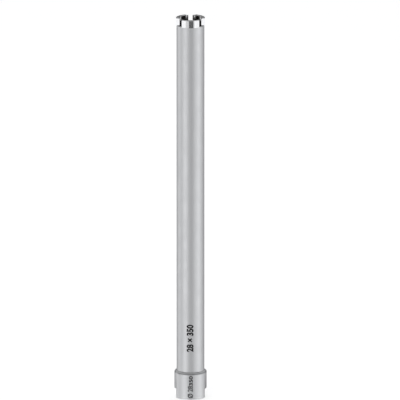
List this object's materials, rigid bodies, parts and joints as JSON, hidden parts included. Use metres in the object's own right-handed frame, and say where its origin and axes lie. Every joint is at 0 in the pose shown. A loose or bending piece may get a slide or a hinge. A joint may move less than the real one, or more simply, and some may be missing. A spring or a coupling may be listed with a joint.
{
  "type": "diamond core bit",
  "caption": "Tubular diamond core bit with a segmented cutting crown, a plain steel barrel and a tapped hub with wrench flats.",
  "frame": {"origin": "centre of the hub's lower end face, on the bit's axis", "axes": "+Z along the barrel from the hub to the cutting tips, -Y through the middle of the first segment, wrench flats at +X and -X"},
  "size_m": [0.0312, 0.0312, 0.3767],
  "materials": {
    "hub_steel": "satin turned steel",
    "barrel_steel": "satin drawn steel",
    "segment_metal": "bright sintered metal with diamond grit"
  },
  "bodies": {
    "root": {"hub": "hub_steel", "core_barrel": "barrel_steel", "diamond_segment_1": "segment_metal", "diamond_segment_2": "segment_metal", "diamond_segment_3": "segment_metal"}
  },
  "joints": []
}
